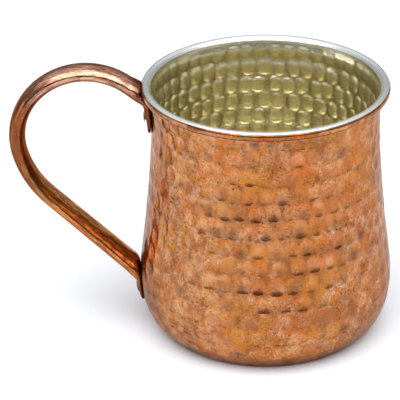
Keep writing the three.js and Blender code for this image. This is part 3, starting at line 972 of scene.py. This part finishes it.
def copper_wear_and_highlights(tree, place, colour):
    """Painted highlight on the ridges on the side away from the handle; pale scuffs beside the
    handle, which are painted sheen there, and scuffs of wear in a few zones elsewhere.
    """
    ridge = by_layer(tree, "press", start=0.32, full=0.08)
    far_side = by_place(tree, place, "X", start=12.0, full=40.0)
    ridge_highlight_patches = patches(tree, place, size=5.0, seed=18.0, start=0.4, full=0.6)
    sheen_by_handle = by_place(tree, place, "X", start=-4.0, full=-26.0)
    most_sheen_by_handle = add(
        tree, "ShaderNodeMath",
        {0: sheen_by_handle, 1: MOST_SHEEN_BY_HANDLE},
        operation="MULTIPLY",
    ).outputs["Value"]
    elsewhere = patches(tree, place, size=10.0, seed=16.0, start=0.48, full=0.6)
    wear_and_sheen_zones = add(
        tree, "ShaderNodeMath",
        {0: most_sheen_by_handle, 1: elsewhere},
        operation="MAXIMUM",
    ).outputs["Value"]
    scuffs = patches(tree, place, size=3.6, seed=11.0, start=0.4, full=0.62)
    # Painted highlight on the ridges between marks on the side away from the handle.
    colour = laid(tree, colour, RIDGE_HIGHLIGHT, ridge, far_side, ridge_highlight_patches, strength=0.45)
    # Pale scuffs: beside the handle a painted sheen, elsewhere real wear in a few zones.
    return laid(tree, colour, WORN_COPPER_AND_SHEEN, scuffs, wear_and_sheen_zones, strength=0.52)


def copper_tarnish_and_shade(tree, place, colour):
    """Brown grain; a brown blotch low in each mark, partly tarnishing and partly painted dark
    reflection; painted shade in dark lines between the rows; and specks, each in its zones.

    Real grain and specks are finer; they are drawn 0.8 mm across so that they show.
    """
    hollow_blotch = add(tree, "ShaderNodeAttribute", attribute_name="tarnish_and_dark_reflection").outputs["Fac"]
    seam_shade = add(tree, "ShaderNodeAttribute", attribute_name="seam_shade").outputs["Fac"]
    grain = patches(tree, place, size=0.8, seed=3.0, start=0.48, full=0.58)
    grain_zones = patches(tree, place, size=11.0, seed=17.0, start=0.38, full=0.52)
    brown_zones = patches(tree, place, size=15.0, seed=4.0, start=0.4, full=0.56)
    everywhere = add(
        tree, "ShaderNodeMapRange",
        {"Value": brown_zones, "To Min": LEAST_HOLLOW_BLOTCH, "To Max": 1.0},
    ).outputs["Result"]
    seam_shade_zones = patches(tree, place, size=12.0, seed=6.0, start=0.44, full=0.54)
    broken = patches(tree, place, size=1.0, seed=5.0, start=0.46, full=0.56)
    specks = patches(tree, place, size=0.75, seed=7.0, start=0.57, full=0.61)
    speck_zones = patches(tree, place, size=13.0, seed=8.0, start=0.47, full=0.57)
    colour = laid(tree, colour, GRAIN_BROWN, grain, grain_zones, strength=0.6)
    # A brown blotch low in each mark: partly tarnishing, partly painted dark reflection of the
    # room.
    colour = laid(tree, colour, HOLLOW_TARNISH_AND_DARK_REFLECTION, hollow_blotch, everywhere)
    # Painted shade: dark lines along the lower border of each mark, where the rows meet.
    colour = laid(tree, colour, SEAM_SHADE, seam_shade, seam_shade_zones, broken, strength=0.9)
    return laid(tree, colour, DARK_SPECK, specks, speck_zones, strength=0.95)


def hammered_copper():
    """Copper sheet, spun, hammered by hand and left to go dark with tarnishing.

    To the eye it is orange to gold with duller pink clouds and pale scuffs of wear in a few zones.
    Painted highlights make it pale in the middles of marks, on ridges away from the handle and
    beside the handle. Painted shade makes some marks, their borders and the lines between the rows
    brown, and a brown blotch low in each mark is partly tarnishing and partly painted dark
    reflection.
    """
    material, tree, place = material_tree("hammered_copper")
    pink = patches(tree, place, size=14.0, seed=2.0, start=0.46, full=0.62)
    colour = copper_tones(tree, place, pink)
    colour = copper_wear_and_highlights(tree, place, colour)
    colour = copper_tarnish_and_shade(tree, place, colour)
    roughness = add(
        tree, "ShaderNodeMapRange",
        {"Value": pink, "To Min": COPPER_ROUGHNESS[0], "To Max": COPPER_ROUGHNESS[1]},
    ).outputs["Result"]
    normal = uneven(tree, place, size=2.5, seed=9.0, depth=0.08, grade=SOFT)
    return finished(material, tree, colour, roughness, normal=normal, edge_colour=COPPER_EDGE)


# Nickel plate

WARM_NICKEL = 0xF3ECCC
CLEAN_NICKEL = 0xECF0EC
YELLOW_FILM = 0xCFC08C
GROOVE_SHADE = 0x989060
GREY_FLOOR = 0xB2AEA0
NICKEL_ROUGHNESS = 0.26


def nickel_plate():
    """Nickel plated on hammered metal.

    To the eye it is white and bright over the bead, which is wiped clean, and warm inside,
    with a yellow film in clouds, painted shade in the grooves between the bumps, and grey on the
    floor.
    """
    material, tree, place = material_tree("nickel_plate")
    bead_low = BEAD[1] - BEAD_RADIUS / 2
    clean = by_place(tree, place, "Z", start=bead_low, full=BEAD[1])
    inside = by_place(tree, place, "Z", start=BEAD[1], full=bead_low)
    film = patches(tree, place, size=12.0, seed=11.0, start=0.4, full=0.65, grade=SOFT)
    groove = by_layer(tree, "press", start=0.5, full=0.0)
    floor = by_place(tree, place, "Z", start=2.6, full=1.3)
    colour = laid(tree, linear(WARM_NICKEL), CLEAN_NICKEL, clean)
    colour = laid(tree, colour, YELLOW_FILM, film, strength=0.15)
    # Painted shade in the grooves between the bumps inside.
    colour = laid(tree, colour, GROOVE_SHADE, groove, inside, strength=0.3)
    colour = laid(tree, colour, GREY_FLOOR, floor, strength=0.6)
    normal = uneven(tree, place, size=3.0, seed=12.0, depth=0.02, grade=SMOOTH)
    return finished(material, tree, colour, NICKEL_ROUGHNESS, normal=normal)


# Polished copper tube

PALE_LOOP_AND_HIGHLIGHT = 0xDCAC94
LOWER_SHADE_BROWN = 0x7C5034
ORANGE_RUN_SHEEN = 0xD48A4C
RUN_HIGHLIGHT = 0xFFBE78
GOLDEN_STREAK = 0xBC9450
RED_STREAK = 0x963E24
DARK_STREAK = 0x5C3624
BROWN_SPOT = 0x4A2818
TAB_SHADE_BROWN = 0x6A3420
TUBE_EDGE = 0xC8ACA4
TUBE_ROUGHNESS = 0.2
STREAK_WIDTH_SHARE = 0.14
FRAY_HEIGHT = 30.0


def streak_place(tree):
    """Places along, across and through the tube, shortened along it so that streaks lie there."""
    along, across, through = (
        add(tree, "ShaderNodeAttribute", attribute_name=name).outputs["Fac"]
        for name in ("along", "across", "through")
    )
    shortened = add(
        tree, "ShaderNodeMath",
        {0: along, 1: STREAK_WIDTH_SHARE},
        operation="MULTIPLY",
    ).outputs["Value"]
    return add(
        tree, "ShaderNodeCombineXYZ",
        {0: shortened, 1: across, 2: through},
    ).outputs["Vector"]


def tube_tones(tree, place, drawn):
    """Painted light and shade down the tube: pale on top of the loop where the light falls, brown
    lower down and brighter orange on the run, with borders frayed into streaks; and a painted
    highlight on the run's finger side.
    """
    height = add(tree, "ShaderNodeSeparateXYZ", {0: place}).outputs["Z"]
    fray = add(
        tree, "ShaderNodeTexNoise",
        blotches(drawn, size=1.2, seed=21.0, grade=STREAKY),
        noise_dimensions="4D",
    ).outputs["Fac"]

    def by_height(start, full):
        """A mask between two heights, whose border each streak moves by up to half the fray."""
        inputs = {0: fray, 1: FRAY_HEIGHT, 2: height}
        limits = (start + FRAY_HEIGHT / 2, full + FRAY_HEIGHT / 2)
        return mask(tree, "ShaderNodeMath", inputs, "Value", *limits, operation="MULTIPLY_ADD")

    finger_side = by_layer(tree, "through", start=0.2, full=1.6)
    low = by_height(start=69.0, full=51.0)
    # Painted light and shade by height: the tube's own colour is pale on top where the light falls
    # on it, brown below as painted shade, brighter orange on the run as painted sheen.
    colour = laid(tree, linear(PALE_LOOP_AND_HIGHLIGHT), LOWER_SHADE_BROWN, by_height(start=103.0, full=87.0))
    colour = laid(tree, colour, ORANGE_RUN_SHEEN, by_height(start=61.0, full=45.0))
    # Painted highlight on the run's finger side, which faces up towards the light.
    return laid(tree, colour, RUN_HIGHLIGHT, finger_side, low, strength=0.9)


def tube_streaks(tree, place, drawn, colour):
    """Golden, red and dark streaks along the tube, brown spots, and painted shade on the flat ends
    where they lie against the wall.

    Real drawing marks are finer; they are drawn about 1 mm wide so that they show.
    """
    golden = patches(tree, drawn, size=1.3, seed=26.0, start=0.5, full=0.6, grade=STREAKY)
    red = patches(tree, drawn, size=0.9, seed=23.0, start=0.47, full=0.55, grade=STREAKY)
    dark = patches(tree, drawn, size=0.7, seed=22.0, start=0.5, full=0.58, grade=STREAKY)
    spots = patches(tree, place, size=1.6, seed=25.0, start=0.54, full=0.64, grade=STREAKY)
    against_wall = by_place(tree, place, "X", start=-49.0, full=-46.0)
    colour = laid(tree, colour, GOLDEN_STREAK, golden, strength=0.5)
    colour = laid(tree, colour, RED_STREAK, red, strength=0.6)
    colour = laid(tree, colour, DARK_STREAK, dark, strength=0.5)
    colour = laid(tree, colour, BROWN_SPOT, spots, strength=0.5)
    # Painted shade: the flat ends are dark where they lie close against the wall.
    return laid(tree, colour, TAB_SHADE_BROWN, against_wall, strength=0.7)


def polished_copper():
    """Copper tube, drawn, polished and hammered flat at its ends.

    To the eye it is streaked along its length. Painted light and shade make it pale on top of the
    loop, brown below, orange on the run and bright on the run's finger side, and painted shade
    makes the flat ends dark where they lie against the wall.
    """
    material, tree, place = material_tree("polished_copper")
    drawn = streak_place(tree)
    colour = tube_tones(tree, place, drawn)
    colour = tube_streaks(tree, place, drawn, colour)
    normal = uneven(tree, drawn, size=1.2, seed=24.0, depth=0.1, grade=RIPPLED)
    return finished(material, tree, colour, TUBE_ROUGHNESS, normal=normal, edge_colour=TUBE_EDGE)


# White rivet metal

RIVET_GREY = 0x96948A
RIVET_STAIN = 0x6A665C
RIVET_ROUGHNESS = 0.32


def rivet_metal():
    """White metal, pressed to a head and never polished: grey and dull, with darker stains."""
    material, tree, place = material_tree("white_rivet_metal")
    stain = patches(tree, place, size=1.5, seed=31.0, start=0.4, full=0.65, grade=SMOOTH)
    colour = laid(tree, linear(RIVET_GREY), RIVET_STAIN, stain)
    return finished(material, tree, colour, RIVET_ROUGHNESS)


# White table

TABLE_WHITE = 0xE6EAEF
TABLE_ROUGHNESS = 0.8


def matt_white_table():
    """Painted board: matt, smooth and almost white."""
    material, tree, _ = material_tree("matt_white_table")
    return finished(material, tree, linear(TABLE_WHITE), TABLE_ROUGHNESS, metallic=0.0)


# Camera: square to the handle's plane and above the mug, as the photograph was taken

FRAME_WIDTH_PX = 400
PX_PER_MM = 2.7147
VIEW_DOWN = math.radians(26.6)
VIEW_ROLL = math.radians(-0.67)
VIEW_DISTANCE = 900.0
VIEW_CENTRE = (-24.06, 0.0, 49.26)
SENSOR_WIDTH = 36.0
FARTHEST_SEEN = 20.0


def photo_camera():
    """The camera, which looks at the view's centre from the view's distance."""
    data = bpy.data.cameras.new("camera")
    data.sensor_width = SENSOR_WIDTH
    data.lens = PX_PER_MM * VIEW_DISTANCE / FRAME_WIDTH_PX * SENSOR_WIDTH
    data.clip_end = FARTHEST_SEEN
    camera = bpy.data.objects.new("camera", data)
    camera.rotation_mode = "ZYX"
    camera.rotation_euler = (math.pi / 2 - VIEW_DOWN, 0, VIEW_ROLL)
    camera.location = (
        VIEW_CENTRE[0] * MM,
        (VIEW_CENTRE[1] - VIEW_DISTANCE * math.cos(VIEW_DOWN)) * MM,
        (VIEW_CENTRE[2] + VIEW_DISTANCE * math.sin(VIEW_DOWN)) * MM,
    )
    bpy.context.scene.collection.objects.link(camera)
    bpy.context.scene.camera = camera


# Surroundings, in metres: a table, two soft lights and a pale room

TABLE_SIZE = 6.0
LIGHT_DISTANCE = 2.2
ROOM_WHITE = 0xF4F6FA
ROOM_DARK = 0x000000
WALL_BRIGHTNESS = 0.45
CEILING_BRIGHTNESS = 0.85


def table_top():
    """A square table top that the mug stands on."""
    side = TABLE_SIZE / 2
    mesh = bpy.data.meshes.new("table")
    corners = [(-side, -side, 0), (side, -side, 0), (side, side, 0), (-side, side, 0)]
    mesh.from_pydata(corners, [], [(0, 1, 2, 3)])
    mesh.materials.append(matt_white_table())
    table = bpy.data.objects.new("table", mesh)
    bpy.context.scene.collection.objects.link(table)


def area_light(name, azimuth, elevation, size, strength):
    """A rectangular soft light that looks at the mug; strength is its brightness."""
    data = bpy.data.lights.new(name, "AREA")
    data.shape = "RECTANGLE"
    data.size, data.size_y = size
    data.energy = strength * math.pi * size[0] * size[1]
    light = bpy.data.objects.new(name, data)
    light.location = (
        LIGHT_DISTANCE * math.cos(elevation) * math.sin(azimuth),
        -LIGHT_DISTANCE * math.cos(elevation) * math.cos(azimuth),
        LIGHT_DISTANCE * math.sin(elevation) + HEIGHT / 2 * MM,
    )
    light.rotation_euler = (math.pi / 2 - elevation, 0, azimuth)
    bpy.context.scene.collection.objects.link(light)


def pale_room():
    """A room that is brighter overhead, with a dark band behind the camera."""
    world = bpy.data.worlds.new("pale_room")
    bpy.context.scene.world = world
    world.use_nodes = True
    room = world.node_tree
    room.nodes.clear()
    way = add(room, "ShaderNodeTexCoord").outputs["Generated"]
    ceiling = by_place(room, way, "Z", start=0.4, full=0.6)
    behind_camera = by_place(room, way, "Y", start=-0.1, full=-0.5)
    over_table = by_place(room, way, "Z", start=0.0, full=0.06)
    under_ceiling = by_place(room, way, "Z", start=0.56, full=0.5)
    band = (behind_camera, over_table, under_ceiling)
    colour = laid(room, linear(ROOM_WHITE), ROOM_DARK, *band, strength=0.65)
    brightness = add(
        room, "ShaderNodeMapRange",
        {"Value": ceiling, "To Min": WALL_BRIGHTNESS, "To Max": CEILING_BRIGHTNESS},
    ).outputs["Result"]
    background = add(room, "ShaderNodeBackground", {"Color": colour, "Strength": brightness})
    add(room, "ShaderNodeOutputWorld", {"Surface": background.outputs["Background"]})


# The scene

photo_camera()
copper_wall(hammered_copper())
nickel_lining(nickel_plate())
bent_handle(polished_copper())
rivet_finish = rivet_metal()
upper_seat = rivet_seat(UPPER_RIVET_HEIGHT, UPPER_TAB_TIP, UPPER_TAB_TOP, UPPER_ROOT_GAP)
lower_seat = rivet_seat(LOWER_RIVET_HEIGHT, LOWER_TAB_TIP, LOWER_TAB_TOP, LOWER_ROOT_GAP)
rivet("upper_rivet_turned", upper_seat, rivet_finish, "upper_rivet")
rivet("lower_rivet_turned", lower_seat, rivet_finish, "lower_rivet")
table_top()
area_light(
    "soft_box",
    azimuth=0,
    elevation=math.radians(65),
    size=(3.8, 2.6),
    strength=3.0,
)
area_light(
    "side_window",
    azimuth=math.radians(-85),
    elevation=math.radians(4),
    size=(1.2, 0.8),
    strength=1.4,
)
pale_room()

bpy.context.scene.view_settings.view_transform = "Standard"
